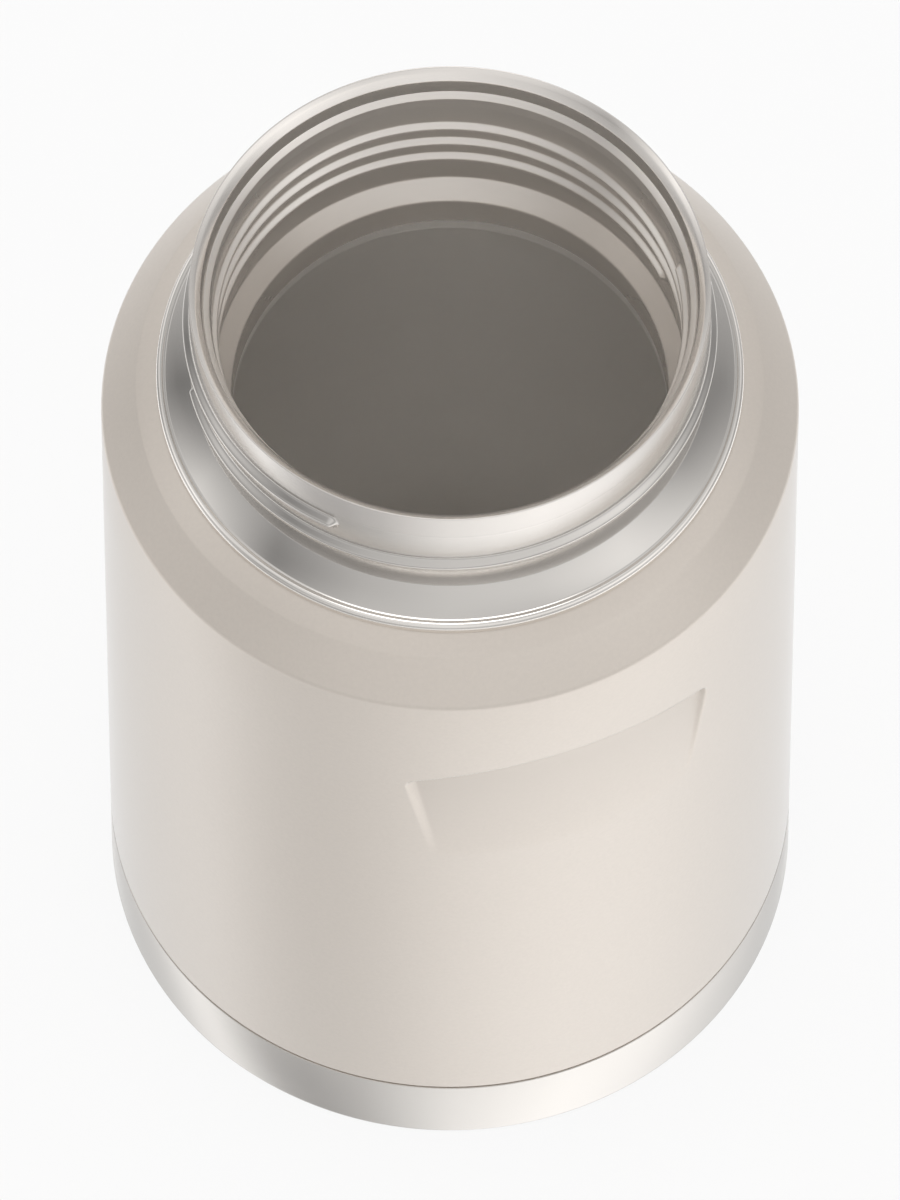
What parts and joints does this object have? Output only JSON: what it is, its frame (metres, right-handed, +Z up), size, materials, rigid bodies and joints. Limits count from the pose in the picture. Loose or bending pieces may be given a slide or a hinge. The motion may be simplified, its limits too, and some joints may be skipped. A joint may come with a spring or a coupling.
{
  "type": "insulated food jar",
  "caption": "Open double-walled vacuum food jar: painted trunk, bare steel collar, threaded neck and foot band, with an inner vessel threaded for a stopper.",
  "frame": {"origin": "centre of the standing ring's plane, at the foot", "axes": "+Z up along the jar's axis, -Y towards the badge pocket, +X to the jar's right as the pocket is faced"},
  "size_m": [0.098, 0.098, 0.1585],
  "materials": {
    "trunk_paint": "satin sandstone powder coat",
    "collar_steel": "fine turned satin",
    "rim_steel": "polished",
    "liner_steel": "electropolished satin",
    "band_steel": "fine circular brush",
    "mill_steel": "mill",
    "braze": "dull",
    "getter_powder": "sintered",
    "copper_foil": "bright foil",
    "bond_silicone": "matte",
    "weld_steel": "as welded"
  },
  "bodies": {
    "root": {"trunk_shell": "trunk_paint", "neck_collar": "collar_steel", "mouth_rim": "rim_steel", "liner_neck": "liner_steel", "liner_wall": "liner_steel", "liner_bottom": "liner_steel", "base_cap": "band_steel", "outer_bottom": "mill_steel", "port_seal": "braze", "getter_pellet": "getter_powder", "getter_clip": "mill_steel", "foil_wrap": "copper_foil", "foil_disc": "copper_foil", "bond_ring": "bond_silicone", "collar_weld": "weld_steel", "neck_weld": "weld_steel", "bottom_weld": "weld_steel", "base_weld": "weld_steel"}
  },
  "joints": []
}
